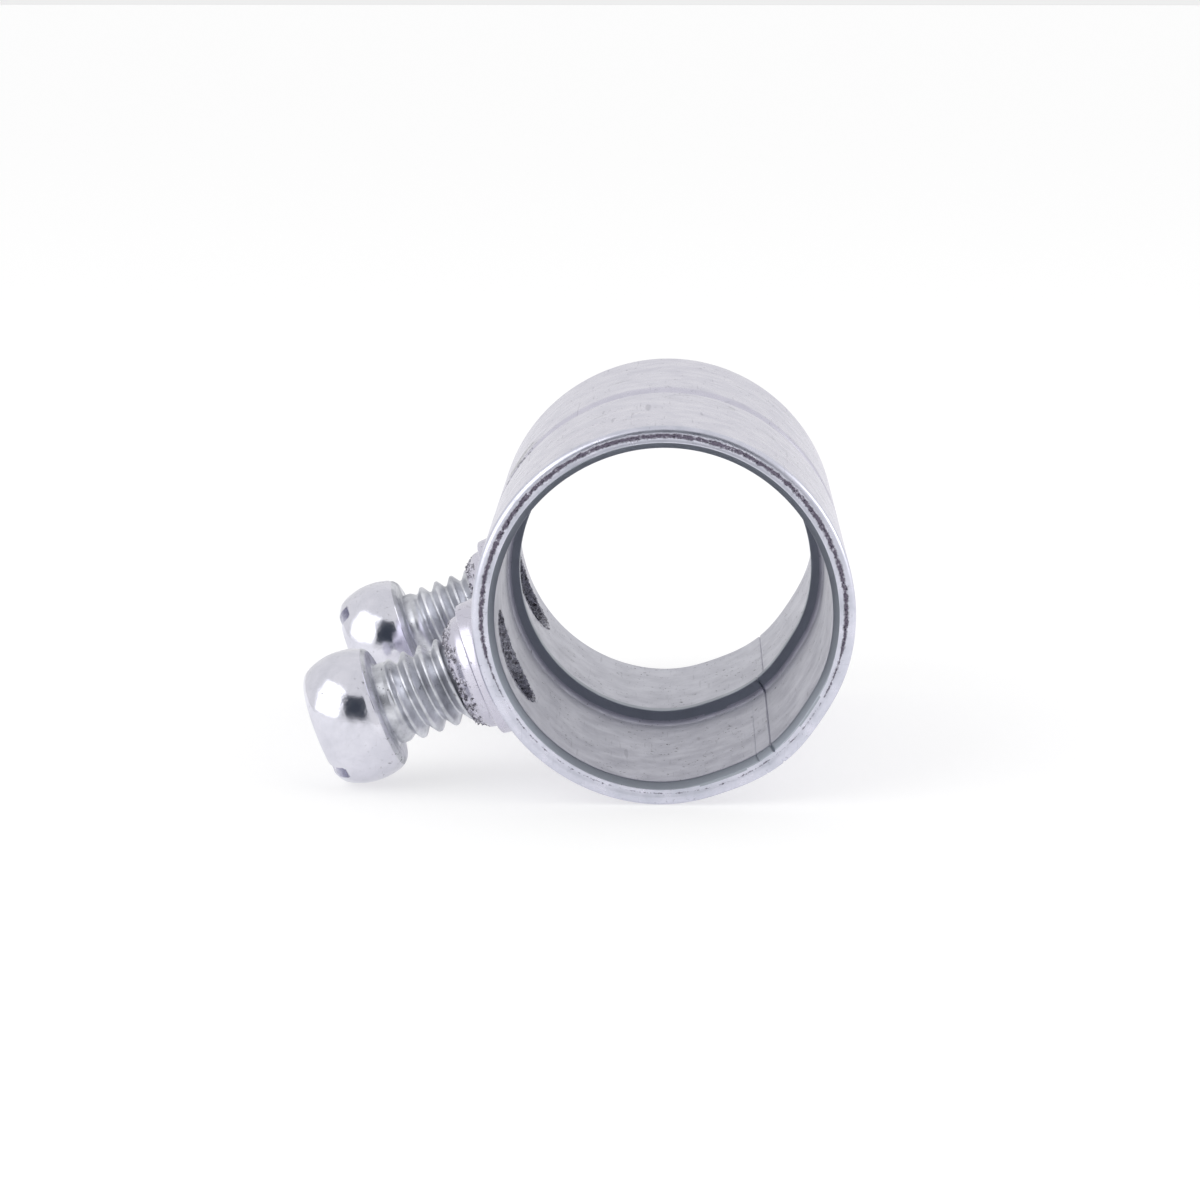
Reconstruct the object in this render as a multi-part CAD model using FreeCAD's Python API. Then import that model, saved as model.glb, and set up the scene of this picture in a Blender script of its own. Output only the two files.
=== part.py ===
"""Set-screw coupling for 3/4-inch thin-wall steel conduit (EMT), built as three separate pieces.

A short steel sleeve joins two lengths of conduit end to end. A stop rolled into its middle keeps
each conduit in its own half, and one slotted screw in each half clamps the conduit.

Frame: millimetres, bore axis along Y, +Z up, origin on the bore axis at mid-length.
The coupling lies as it comes to rest on a bench: on its sleeve and on both screw heads.
"""

import math
import os

import FreeCAD
import Part

# Sleeve
CONDUIT_DIA = 23.42  # outside diameter of 3/4-inch thin-wall conduit
SLEEVE_OUTER_DIA = 26.9
SLEEVE_WALL = 1.6
SLEEVE_LENGTH = 44.0
OUTER_EDGE_RADIUS = 0.45  # rolled-over outer corner at each mouth
BEVEL_RADIAL = 0.45  # reamed lead-in at each mouth
BEVEL_DEPTH = 0.62

# Centre stop: a bead rolled inward, so a groove shows outside and a ridge inside
RIDGE_HEIGHT = 0.9
RIDGE_LAND = 1.0  # length of the flat crest
RIDGE_FOOT = 3.4  # length over both flanks
GROOVE_DEPTH = 0.75
GROOVE_FLOOR = 1.0
GROOVE_MOUTH = 3.2
ROLLED_CORNER = 0.5  # radius left by the rolls on every bead corner

# Seam where the strip was rolled round and its edges butted and welded
SEAM_ANGLE = -50.5  # degrees from +X, about +Y towards +Z
SEAM_WIDTH = 0.25
SEAM_DEPTH = 0.22

# Screw bosses, drawn outward from the wall and tapped
BOSS_OFFSET = 14.8  # from mid-length to each boss
SCREW_TILT = 21.15  # each screw points this many degrees below horizontal
BOSS_DIA = 8.4
BOSS_FACE = 15.95  # boss face, measured from the bore axis
BOSS_SHOULDER = 14.75  # where the collar starts to round in towards its lip
BOSS_LIP_DIA = 7.1
BOSS_FOOT_DIA = 9.9
BOSS_FOOT_HEIGHT = 0.75
INNER_MOUTH_CHAMFER = 0.15

# Screws, 1/4-20 by 3/8 inch, slotted round head
THREAD_DIA = 6.35
THREAD_ROOT_DIA = 5.10
THREAD_PITCH = 1.27
THREAD_CREST = 0.24  # length of the crest flat
THREAD_FOOT = 1.05  # length of one thread ridge at its root
SCREW_LENGTH = 8.9  # under the head
THREAD_RUN = 9.185  # rolled length of the blank before its end is cut back to the screw length
NECK_LENGTH = 0.95
NECK_DIA = 6.0
POINT_CHAMFER = 0.7
HEAD_UNDERSIDE = 21.4  # from the bore axis, as the coupling is supplied
HEAD_PROFILE = [  # height above the underside, radius
    (0.0, 4.15),
    (0.25, 4.42),
    (0.65, 4.65),
    (1.40, 4.86),
    (2.20, 4.93),
    (3.05, 4.87),
    (4.00, 4.58),
    (4.65, 4.20),
    (5.00, 3.70),
]
HEAD_CROWN = 5.15  # height of the dome at its centre
SLOT_WIDTH = 1.3
SLOT_DEPTH = 1.2
FRONT_SLOT_ANGLE = 44.0  # about the screw, from its -Y side towards the bench
REAR_SLOT_ANGLE = -57.0

BORE_RUNNING_CLEARANCE = 0.04  # radial, between the screw's crests and the boss bore

SLEEVE_R = SLEEVE_OUTER_DIA / 2
BORE_R = SLEEVE_R - SLEEVE_WALL
HALF_LENGTH = SLEEVE_LENGTH / 2
Z_AXIS = FreeCAD.Vector(0, 0, 1)


def turned(profile):
    """Solid of revolution about Z from (radius, height) corners, the first and last on the axis."""
    points = [FreeCAD.Vector(r, 0, z) for r, z in profile]
    face = Part.Face(Part.makePolygon(points + points[:1]))
    return face.revolve(FreeCAD.Vector(0, 0, 0), Z_AXIS, 360)


def along_bore(shape):
    """Turn a shape made about Z so that it lies about the bore axis, Y."""
    shape = shape.copy()
    shape.rotate(FreeCAD.Vector(0, 0, 0), FreeCAD.Vector(1, 0, 0), -90)
    return shape


def on_screw_axis(shape, along):
    """Place a shape made about Z, with z counted from the bore axis, at a screw position."""
    shape = shape.copy()
    shape.rotate(FreeCAD.Vector(0, 0, 0), FreeCAD.Vector(0, 1, 0), -90 - SCREW_TILT)
    shape.translate(FreeCAD.Vector(0, along, 0))
    return shape


def round_edges(solid, places, radius):
    """Fillet the full-circle edges that lie at the given (radius, z) places."""

    def wanted(edge):
        curve = edge.Curve
        if not isinstance(curve, Part.Circle):
            return False
        return any(
            abs(curve.Radius - r) < 1e-4 and abs(curve.Center.z - z) < 1e-4
            for r, z in places
        )

    return solid.makeFillet(radius, [e for e in solid.Edges if wanted(e)])


def sleeve_tube():
    """The rolled tube: bevelled mouths, the stop bead, and rolled corners."""
    crest_r = BORE_R - RIDGE_HEIGHT
    groove_r = SLEEVE_R - GROOVE_DEPTH
    bevel_r = BORE_R + BEVEL_RADIAL
    bevel_z = HALF_LENGTH - BEVEL_DEPTH
    half = [
        (SLEEVE_R, HALF_LENGTH),
        (SLEEVE_R, GROOVE_MOUTH / 2),
        (groove_r, GROOVE_FLOOR / 2),
    ]
    outside = half + [(r, -z) for r, z in reversed(half)]
    half = [
        (bevel_r, HALF_LENGTH),
        (BORE_R, bevel_z),
        (BORE_R, RIDGE_FOOT / 2),
        (crest_r, RIDGE_LAND / 2),
    ]
    inside = half + [(r, -z) for r, z in reversed(half)]
    tube = turned(outside + inside[::-1])
    bead = [(SLEEVE_R, GROOVE_MOUTH / 2), (BORE_R, RIDGE_FOOT / 2)]
    bead += [(r, -z) for r, z in bead]
    tube = round_edges(tube, bead, ROLLED_CORNER)
    rims = [(SLEEVE_R, HALF_LENGTH), (SLEEVE_R, -HALF_LENGTH)]
    return along_bore(round_edges(tube, rims, OUTER_EDGE_RADIUS))


def boss_body():
    """Collar on a wider drawn foot; it starts inside the wall so that it fuses with it."""
    inside = BORE_R + SLEEVE_WALL / 4
    foot_r = BOSS_FOOT_DIA / 2
    r = BOSS_DIA / 2
    lip_r = BOSS_LIP_DIA / 2
    foot_top = SLEEVE_R + BOSS_FOOT_HEIGHT
    return turned(
        [
            (0, inside),
            (foot_r, inside),
            (foot_r, foot_top - 0.45),
            (foot_r - 0.25, foot_top),
            (r + 0.12, foot_top),
            (r, foot_top + 0.3),
            (r, BOSS_SHOULDER),
            (r - 0.22, BOSS_SHOULDER + 0.5),
            (lip_r + 0.12, BOSS_FACE - 0.2),
            (lip_r, BOSS_FACE),
            (0, BOSS_FACE),
        ]
    )


def boss_bore():
    """Bore for the screw, opened out where it breaks through the inner wall and at the lip."""
    r = THREAD_DIA / 2 + BORE_RUNNING_CLEARANCE
    wall_sag = BORE_R - math.sqrt(BORE_R**2 - r**2)
    mouth = BORE_R - wall_sag
    lip = 0.15
    return turned(
        [
            (0, mouth - 2.0),
            (r + INNER_MOUTH_CHAMFER, mouth - 2.0),
            (r + INNER_MOUTH_CHAMFER, mouth),
            (r, mouth + INNER_MOUTH_CHAMFER + 0.15),
            (r, BOSS_FACE - lip),
            (r + lip, BOSS_FACE),
            (r + lip, BOSS_FACE + 1.0),
            (0, BOSS_FACE + 1.0),
        ]
    )


def seam_cutter(wall_r, bead_r, bead_half, crest_half, inward):
    """Thin blade that sinks the seam line into one face of the wall and follows it over the bead."""
    depth = -inward * SEAM_DEPTH
    clear = inward * 1.6
    end = HALF_LENGTH + 1
    under = [
        (end, wall_r + depth),
        (bead_half, wall_r + depth),
        (crest_half, bead_r + depth),
    ]
    corners = [(y, r) for y, r in under] + [(-y, r) for y, r in reversed(under)]
    corners += [(-end, wall_r + clear), (end, wall_r + clear)]
    points = [FreeCAD.Vector(r, y, -SEAM_WIDTH / 2) for y, r in corners]
    blade = Part.Face(Part.makePolygon(points + points[:1]))
    blade = blade.extrude(FreeCAD.Vector(0, 0, SEAM_WIDTH))
    blade.rotate(FreeCAD.Vector(0, 0, 0), FreeCAD.Vector(0, 1, 0), -SEAM_ANGLE)
    return blade


def sleeve():
    tube = sleeve_tube()
    for along in (-BOSS_OFFSET, BOSS_OFFSET):
        tube = tube.fuse(on_screw_axis(boss_body(), along))
    for along in (-BOSS_OFFSET, BOSS_OFFSET):
        tube = tube.cut(on_screw_axis(boss_bore(), along))
    groove_r = SLEEVE_R - GROOVE_DEPTH
    crest_r = BORE_R - RIDGE_HEIGHT
    tube = tube.cut(seam_cutter(SLEEVE_R, groove_r, GROOVE_MOUTH / 2, GROOVE_FLOOR / 2, 1))
    tube = tube.cut(seam_cutter(BORE_R, crest_r, RIDGE_FOOT / 2, RIDGE_LAND / 2, -1))
    return tube.removeSplitter()


def thread_ridge(bottom, top):
    """One helical ridge with a flat crest, buried a little way into the shank."""
    root = THREAD_ROOT_DIA / 2
    crest = THREAD_DIA / 2
    sink = 0.1
    flank = (THREAD_FOOT - THREAD_CREST) / 2 / (crest - root)
    foot = THREAD_FOOT / 2 + sink * flank
    helix = Part.makeHelix(THREAD_PITCH, top - bottom, root)
    corners = [
        (root - sink, -foot),
        (crest, -THREAD_CREST / 2),
        (crest, THREAD_CREST / 2),
        (root - sink, foot),
    ]
    points = [FreeCAD.Vector(r, 0, z) for r, z in corners]
    section = Part.Wire(Part.makePolygon(points + points[:1]))
    ridge = Part.Wire(helix.Edges).makePipeShell([section], True, True)
    ridge.translate(FreeCAD.Vector(0, 0, bottom))
    return ridge


def screw_head():
    """Barrel head with a low dome, turned about the screw axis."""
    corners = [(r, HEAD_UNDERSIDE + z) for z, r in HEAD_PROFILE]
    last_r = HEAD_PROFILE[-1][1]
    edge_z = HEAD_PROFILE[-1][0]
    dome = []
    for share in (0.8, 0.6, 0.4, 0.2, 0.0):
        rise = (HEAD_CROWN - edge_z) * (1 - share**2)
        dome.append((last_r * share, HEAD_UNDERSIDE + edge_z + rise))
    return turned([(0, HEAD_UNDERSIDE)] + corners + dome)


def set_screw(slot_angle):
    tip = HEAD_UNDERSIDE - SCREW_LENGTH
    root = THREAD_ROOT_DIA / 2
    crest = THREAD_DIA / 2
    neck_bottom = HEAD_UNDERSIDE - NECK_LENGTH
    core = Part.makeCylinder(root, SCREW_LENGTH, FreeCAD.Vector(0, 0, tip))
    ridge = thread_ridge(neck_bottom - THREAD_RUN, neck_bottom)
    envelope = turned(
        [
            (0, tip),
            (crest - POINT_CHAMFER, tip),
            (crest + 0.3, tip + POINT_CHAMFER + 0.3),
            (crest + 0.3, HEAD_UNDERSIDE - 0.2),
            (0, HEAD_UNDERSIDE - 0.2),
        ]
    )
    threaded = core.fuse(ridge).common(envelope)
    neck = turned(
        [
            (0, neck_bottom - 0.35),
            (root - 0.02, neck_bottom - 0.35),
            (NECK_DIA / 2, neck_bottom + 0.05),
            (NECK_DIA / 2, HEAD_UNDERSIDE - 0.15),
            (NECK_DIA / 2 + 0.15, HEAD_UNDERSIDE),
            (NECK_DIA / 2 + 0.15, HEAD_UNDERSIDE + 0.5),
            (0, HEAD_UNDERSIDE + 0.5),
        ]
    )
    slot = Part.makeBox(
        SLOT_WIDTH,
        12.0,
        SLOT_DEPTH + 1.0,
        FreeCAD.Vector(-SLOT_WIDTH / 2, -6.0, HEAD_UNDERSIDE + HEAD_CROWN - SLOT_DEPTH),
    )
    slot.rotate(FreeCAD.Vector(0, 0, 0), Z_AXIS, -slot_angle)
    return threaded.fuse(neck).fuse(screw_head()).cut(slot)


def main():
    os.makedirs("parts", exist_ok=True)
    pieces = {
        "sleeve": sleeve(),
        "front_set_screw": on_screw_axis(set_screw(FRONT_SLOT_ANGLE), -BOSS_OFFSET),
        "rear_set_screw": on_screw_axis(set_screw(REAR_SLOT_ANGLE), BOSS_OFFSET),
    }
    for name, shape in pieces.items():
        solids = shape.Solids
        if len(solids) != 1 or not solids[0].isValid():
            raise RuntimeError(f"{name} is not one valid solid")
        solids[0].exportStep(f"parts/{name}.step")
        box = solids[0].BoundBox
        print(
            f"{name}: {solids[0].Volume:.1f} mm3, "
            f"x {box.XMin:.2f} to {box.XMax:.2f}, y {box.YMin:.2f} to {box.YMax:.2f}, "
            f"z {box.ZMin:.2f} to {box.ZMax:.2f}"
        )


main()
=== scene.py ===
import math

import bmesh
import bpy
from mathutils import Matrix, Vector, noise


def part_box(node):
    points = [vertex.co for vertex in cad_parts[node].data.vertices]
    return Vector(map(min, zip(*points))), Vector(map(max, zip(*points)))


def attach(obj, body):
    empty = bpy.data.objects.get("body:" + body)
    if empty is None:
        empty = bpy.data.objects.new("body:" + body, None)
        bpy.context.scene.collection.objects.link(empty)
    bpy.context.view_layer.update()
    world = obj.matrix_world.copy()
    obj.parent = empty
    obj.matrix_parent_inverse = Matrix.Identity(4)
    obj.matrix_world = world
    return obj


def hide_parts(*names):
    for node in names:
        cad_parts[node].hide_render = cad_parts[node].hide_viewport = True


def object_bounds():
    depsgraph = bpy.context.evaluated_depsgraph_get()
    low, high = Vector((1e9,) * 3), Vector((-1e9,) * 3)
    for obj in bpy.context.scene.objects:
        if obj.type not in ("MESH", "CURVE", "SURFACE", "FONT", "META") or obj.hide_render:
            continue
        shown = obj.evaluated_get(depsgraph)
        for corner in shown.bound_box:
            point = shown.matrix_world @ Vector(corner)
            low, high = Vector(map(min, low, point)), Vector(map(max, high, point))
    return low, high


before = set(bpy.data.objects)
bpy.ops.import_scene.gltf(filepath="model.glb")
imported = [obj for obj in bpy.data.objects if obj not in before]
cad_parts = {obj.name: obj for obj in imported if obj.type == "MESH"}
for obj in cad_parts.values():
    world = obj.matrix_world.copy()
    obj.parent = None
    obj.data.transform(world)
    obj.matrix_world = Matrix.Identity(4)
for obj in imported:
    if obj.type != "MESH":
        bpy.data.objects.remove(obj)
cad_low, cad_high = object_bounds()

# ---------------------------------------------------------------------------------------------
# Sleeve. Steel strip, sheared to length, rolled round and butt-welded, then bright zinc plated.
# The stop bead is rolled in at mid-length and both screw bosses are drawn out of the wall.
# Lengths are in millimetres until a mesh is made, and angles in degrees.
MM = 0.001
WALL = 1.6
SLEEVE_R = round(cad_high.x / MM, 2)
BORE_R = SLEEVE_R - WALL
HALF_LENGTH = round(cad_high.y / MM, 2)
RIM_ROUND = 0.45  # rolled-over outer corner of each mouth
BEVEL_R = 12.30
BEVEL_DEPTH = 0.62
GROOVE_R = 12.70  # the stop bead is a groove outside...
GROOVE_MOUTH = 1.6  # half its width at the wall
CREST_R = 10.95  # ...and a ridge inside
RIDGE_FOOT = 1.7  # half its width at the wall
BEAD_FLAT = 0.5  # half the width of the groove's floor and of the ridge's crest
SEAM_ANGLE = -50.5
SEAM_WIDTH = 0.36
SEAM_DEPTH = 0.16
SIDE_LINE_ANGLE = -56.5
SIDE_LINE_WIDTH = 0.3
SIDE_LINE_DEPTH = 0.05
SIDE_LINE_END = -2.5  # the line beside the seam runs only from the front mouth to here
FLATS = ((-70.0, 0.17, 13.0), (-33.0, 0.15, 12.0), (118.0, 0.05, 25.0))  # angle, depth, width
SCREW_TILT = 21.15
screw_low, screw_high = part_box("rear_set_screw")
BOSS_ALONG = round((screw_low[1] + screw_high[1]) / 2 / MM, 1)
STEP_DEG = 1.5  # one mesh step round the sleeve
WINDOW_STEPS_ROUND = 18  # half the steps round that each boss takes out of the wall
WINDOW_STEPS_ALONG = 24
WINDOW_HALF = 6.0
SCREW_ANGLE = 180.0 + SCREW_TILT
SKIN_FINISH, RIM_FINISH, PAINTED_REFLECTION_FINISH, BORE_FINISH, MOUTH_FINISH = range(5)
BOSS_FOOT = 0.75  # height over the wall of the fillet at the foot of each boss
BOSS_FILLET = ((5.4, 0.02), (5.18, 0.09), (5.03, 0.24), (4.96, 0.5), (4.94, 0.78))  # r, share
BOSS_PROFILE = (  # radius and level above the bore axis, up the boss and down its tapped hole
    (4.89, 14.12), (4.76, 14.2), (4.42, 14.21), (4.27, 14.26), (4.21, 14.4), (4.2, 14.6),
    (4.14, 14.8), (4.0, 14.98), (3.82, 15.14), (3.67, 15.3), (3.56, 15.45), (3.47, 15.58),
    (3.39, 15.65), (3.32, 15.66), (3.25, 15.6), (3.215, 15.5), (3.215, 14.0), (3.215, 12.9),
)
MOUTH_EDGE = ((3.22, 0.3), (3.26, 0.14), (3.34, 0.04))  # radius, and height over the bore wall

screw_out = Vector((-math.cos(math.radians(SCREW_TILT)), 0, -math.sin(math.radians(SCREW_TILT))))
screw_side = Vector((0, 1, 0))
screw_down = Vector((math.sin(math.radians(SCREW_TILT)), 0, -math.cos(math.radians(SCREW_TILT))))


def as_piece(bm, name):
    """The finished mesh, faces outward, put in the scene."""
    bmesh.ops.recalc_face_normals(bm, faces=bm.faces)
    mesh = bpy.data.meshes.new(name)
    bm.to_mesh(mesh)
    bm.free()
    piece = bpy.data.objects.new(name, mesh)
    bpy.context.collection.objects.link(piece)
    return piece


def smooth_to(piece, crisp):
    """Smooth faces, with edges that turn more than this many degrees left crisp."""
    piece.data.shade_smooth()
    piece.data.set_sharp_from_angle(angle=math.radians(crisp))


def rounded(corners, steps=5):
    """Points along a profile of (along, radius, corner rounding)."""
    points = [Vector(corners[0][:2])]
    for before, here, after in zip(corners, corners[1:], corners[2:]):
        corner = Vector(here[:2])
        if here[2] == 0:
            points.append(corner)
            continue
        back = (Vector(before[:2]) - corner).normalized() * here[2]
        on = (Vector(after[:2]) - corner).normalized() * here[2]
        for k in range(steps + 1):
            t = k / steps
            points.append(corner + back * (1 - t) ** 2 + on * t**2)
    return points + [Vector(corners[-1][:2])]


def turn_between(degrees, other):
    return (degrees - other + 180) % 360 - 180


def out_of_round(degrees):
    """How far the rolls left the wall from a true circle: a flat on each side of the seam."""
    offset = 0.0
    for flat_at, depth, width in FLATS:
        offset -= depth * math.exp(-((turn_between(degrees, flat_at) / width) ** 2))
    return offset


def seam_sink(degrees, along):
    """Depth of the butt seam, which wanders a little in width and depth along the sleeve."""
    away = abs(turn_between(degrees, SEAM_ANGLE))
    uneven = 0.8 + 0.5 * noise.noise(Vector((along * 0.9, 3.1, 0)))
    sink = SEAM_DEPTH * uneven * max(0.0, 1 - away / SEAM_WIDTH)
    if along < SIDE_LINE_END:
        away = abs(turn_between(degrees, SIDE_LINE_ANGLE))
        sink += SIDE_LINE_DEPTH * max(0.0, 1 - away / SIDE_LINE_WIDTH)
    return sink


def wall_point(degrees, along, radius, inward):
    sink = seam_sink(degrees, along) * (-1 if inward else 1)
    r = radius + out_of_round(degrees) - sink
    a = math.radians(degrees)
    return Vector((r * math.cos(a), along, r * math.sin(a)))


def window_rows(centre, radius):
    start = centre - WINDOW_HALF
    step = 2 * WINDOW_HALF / WINDOW_STEPS_ALONG
    return [Vector((start + step * k, radius)) for k in range(WINDOW_STEPS_ALONG + 1)]


def sleeve_angles():
    """Angles round the sleeve, counted from the screws, with close steps across the seam."""
    seam, line = ((a - SCREW_ANGLE) % 360 for a in (SEAM_ANGLE, SIDE_LINE_ANGLE))
    even = [STEP_DEG * k for k in range(int(360 / STEP_DEG))]
    even = [a for a in even if abs(a - seam) > 1.3 and abs(a - line) > 0.8]
    close = [seam + d for d in (-1.0, -0.5, -0.25, 0.0, 0.25, 0.5, 1.0)]
    close += [line + d for d in (-0.6, -0.3, 0.0, 0.3, 0.6)]
    return [(a + SCREW_ANGLE) for a in sorted(even + close)]


def rim_rows(sign):
    """Mouth of the sleeve, from the outer wall round the cut face and the bevel to the bore.
    The shear left the middle of the cut face a few hundredths of a millimetre low."""
    end = HALF_LENGTH
    face = rounded(
        [
            (end - 0.9, SLEEVE_R, 0),
            (end, SLEEVE_R, RIM_ROUND * 1.15),
            (end, SLEEVE_R - 0.62, 0),
            (end - 0.035, SLEEVE_R - 0.8, 0),
            (end - 0.02, BEVEL_R + 0.16, 0),
            (end, BEVEL_R, 0.05),
            (end - BEVEL_DEPTH, BORE_R, 0.12),
            (end - 1.0, BORE_R, 0),
        ]
    )
    return [Vector((sign * p.x, p.y)) for p in face]


def build_sleeve(name):
    bm = bmesh.new()
    angles = sleeve_angles()
    count = len(angles)

    groove = rounded(
        [
            (-GROOVE_MOUTH - 0.6, SLEEVE_R, 0),
            (-GROOVE_MOUTH, SLEEVE_R, 0.34),
            (-BEAD_FLAT, GROOVE_R, 0.22),
            (BEAD_FLAT, GROOVE_R, 0.22),
            (GROOVE_MOUTH, SLEEVE_R, 0.34),
            (GROOVE_MOUTH + 0.6, SLEEVE_R, 0),
        ]
    )
    ridge = rounded(
        [
            (RIDGE_FOOT + 0.7, BORE_R, 0),
            (RIDGE_FOOT, BORE_R, 0.5),
            (BEAD_FLAT, CREST_R, 0.13),
            (-BEAD_FLAT, CREST_R, 0.13),
            (-RIDGE_FOOT, BORE_R, 0.5),
            (-RIDGE_FOOT - 0.7, BORE_R, 0),
        ]
    )
    near_out, far_out = (window_rows(c, SLEEVE_R) for c in (-BOSS_ALONG, BOSS_ALONG))
    near_in, far_in = (window_rows(c, BORE_R) for c in (-BOSS_ALONG, BOSS_ALONG))
    far_rim, near_rim = rim_rows(1), rim_rows(-1)
    stretches = [
        (near_out, False, "near"),
        (groove, False, ""),
        (far_out, False, "far"),
        (far_rim, False, ""),
        (far_in[::-1], True, "far"),
        (ridge, True, ""),
        (near_in[::-1], True, "near"),
        (near_rim[::-1], True, ""),
    ]
    rows, windows = [], {}
    for points, inward, boss in stretches:
        if boss:
            windows[(boss, inward)] = len(rows)
        for p in points:
            inside = p.y < (SLEEVE_R + BORE_R) / 2
            rows.append([bm.verts.new(wall_point(a, p.x, p.y, inside)) for a in angles])

    def in_window(row, column):
        if not (column < WINDOW_STEPS_ROUND or column >= count - WINDOW_STEPS_ROUND):
            return False
        return any(start <= row < start + WINDOW_STEPS_ALONG for start in windows.values())

    def finish_at(middle):
        r = Vector((middle.x, middle.z)).length
        from_mouth = HALF_LENGTH - abs(middle.y)
        # the bevel gets dark zinc: a painted reflection of the dark room in front, which it faces
        if from_mouth < BEVEL_DEPTH and r < BEVEL_R - 0.01:
            return PAINTED_REFLECTION_FINISH
        if from_mouth < RIM_ROUND and r > BEVEL_R - 0.01:
            return RIM_FINISH
        if r < BORE_R - 0.4 and abs(middle.y) < RIDGE_FOOT:  # painted reflection: the ridge's flank mirrors the dark room in front, so it gets the bevel's dark zinc
            return PAINTED_REFLECTION_FINISH
        return BORE_FINISH if r < BEVEL_R else SKIN_FINISH

    for i, row in enumerate(rows):
        after = rows[(i + 1) % len(rows)]
        for j in range(count):
            if not in_window(i, j):
                k = (j + 1) % count
                face = bm.faces.new((row[j], row[k], after[k], after[j]))
                face.material_index = finish_at(face.calc_center_median())

    def window_edge(boss, inward):
        """The wall's own points round a boss window, in one fixed order."""
        start = windows[(boss, inward)]
        n, m = WINDOW_STEPS_ROUND, WINDOW_STEPS_ALONG
        order = [(c, 0) for c in range(-n, n)] + [(n, r) for r in range(m)]
        order += [(c, m) for c in range(n, -n, -1)] + [(-n, r) for r in range(m, 0, -1)]
        edge = []
        for c, r in order:
            row = m - r if inward else r
            edge.append(rows[start + row][c % count])
        return edge

    def boss_rings(centre, boss):
        outer = window_edge(boss, False)
        inner = window_edge(boss, True)
        middle = Vector((0, centre, 0))

        def polar(vertex):
            d = vertex.co - middle
            return Vector((d.dot(screw_side), d.dot(screw_down)))

        def on_wall(flat, radius):
            return math.sqrt(radius**2 - flat.y**2)

        def ring(edge, radius, blend, size, lift, level=None):
            """Ring of points: blend 0 is the window's own edge and 1 a circle of this size."""
            made = []
            for k, vertex in enumerate(edge):
                flat = polar(vertex)
                around = math.atan2(flat.y, flat.x)
                circle = Vector((math.cos(around), math.sin(around))) * size
                flat = flat.lerp(circle, blend)
                height = on_wall(flat, radius)
                if level is not None:
                    height += (level - height) * lift
                made.append(
                    bm.verts.new(
                        middle + screw_out * height + screw_side * flat.x + screw_down * flat.y
                    )
                )
            return made

        rings = [outer]
        rings += [ring(outer, SLEEVE_R, b, 5.75, 0) for b in (0.3, 0.65, 1.0)]
        for size, lift in BOSS_FILLET:
            rings.append(ring(outer, SLEEVE_R, 1, size, lift, SLEEVE_R + BOSS_FOOT))
        for size, level in BOSS_PROFILE:
            rings.append(ring(outer, SLEEVE_R, 1, size, 1, level))
        tapped_from = len(rings) - 3  # the hole's own rings
        for size, rise in MOUTH_EDGE:
            rings.append(ring(inner, BORE_R + rise, 1, size, 0))
        bore_from = len(rings) - 1
        for size in (3.44, 3.8, 4.5):
            rings.append(ring(inner, BORE_R, 1, size, 0))
        rings += [ring(inner, BORE_R, b, 4.95, 0) for b in (0.6, 0.3)]
        rings.append(inner)
        for step, (here, on) in enumerate(zip(rings, rings[1:])):
            for k in range(len(here)):
                n = (k + 1) % len(here)
                face = bm.faces.new((here[k], here[n], on[n], on[k]))
                if step >= tapped_from:
                    face.material_index = MOUTH_FINISH if step < bore_from else BORE_FINISH

    boss_rings(-BOSS_ALONG, "near")
    boss_rings(BOSS_ALONG, "far")
    for row in rows:  # wall points inside the windows belong to no face
        for vertex in row:
            if not vertex.link_faces:
                bm.verts.remove(vertex)
    bmesh.ops.scale(bm, vec=(MM, MM, MM), verts=bm.verts)
    piece = as_piece(bm, name)
    smooth_to(piece, 38)
    return piece


def add_node(tree, kind, values=None, **settings):
    """New shader node with its settings and its socket values."""
    made = tree.nodes.new("ShaderNode" + kind)
    for key, value in settings.items():
        setattr(made, key, value)
    for key, value in (values or {}).items():
        made.inputs[key].default_value = value
    return made


def add_ramp(tree, stops):
    """Colour ramp with (place, grey) stops."""
    ramp = add_node(tree, "ValToRGB")
    ramp.color_ramp.elements[0].position = stops[0][0]
    ramp.color_ramp.elements[1].position = stops[-1][0]
    for place, _ in stops[1:-1]:
        ramp.color_ramp.elements.new(place)
    for element, (_, grey) in zip(ramp.color_ramp.elements, stops):
        element.color = (grey, grey, grey, 1)
    return ramp


def start_group(name, sockets_in, sockets_out):
    """Empty node group with named inputs and outputs."""
    group = bpy.data.node_groups.new(name, "ShaderNodeTree")
    for label, kind, default in sockets_in:
        socket = group.interface.new_socket(name=label, in_out="INPUT", socket_type=kind)
        socket.default_value = default
    for label, kind in sockets_out:
        group.interface.new_socket(name=label, in_out="OUTPUT", socket_type=kind)
    return group, group.nodes.new("NodeGroupInput")


def millimetre_coords(group, stretch=(1, 1, 1), turn=(0, 0, 0)):
    """The piece's own coordinates, in millimetres, stretched to suit one effect."""
    coords = add_node(group, "TexCoord")
    mapping = add_node(group, "Mapping")
    mapping.inputs["Scale"].default_value = [s / MM for s in stretch]
    mapping.inputs["Rotation"].default_value = [math.radians(t) for t in turn]
    group.links.new(coords.outputs["Object"], mapping.inputs["Vector"])
    return mapping.outputs["Vector"]


def math_node(group, operation, a, b):
    made = add_node(group, "Math", operation=operation)
    for socket, value in zip(made.inputs, (a, b)):
        if isinstance(value, (int, float)):
            socket.default_value = value
        else:
            group.links.new(value, socket)
    return made.outputs[0]


def held(group, value, top=1.0):
    """The value, held between 0 and top."""
    return math_node(group, "MINIMUM", math_node(group, "MAXIMUM", value, 0.0), top)


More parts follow.
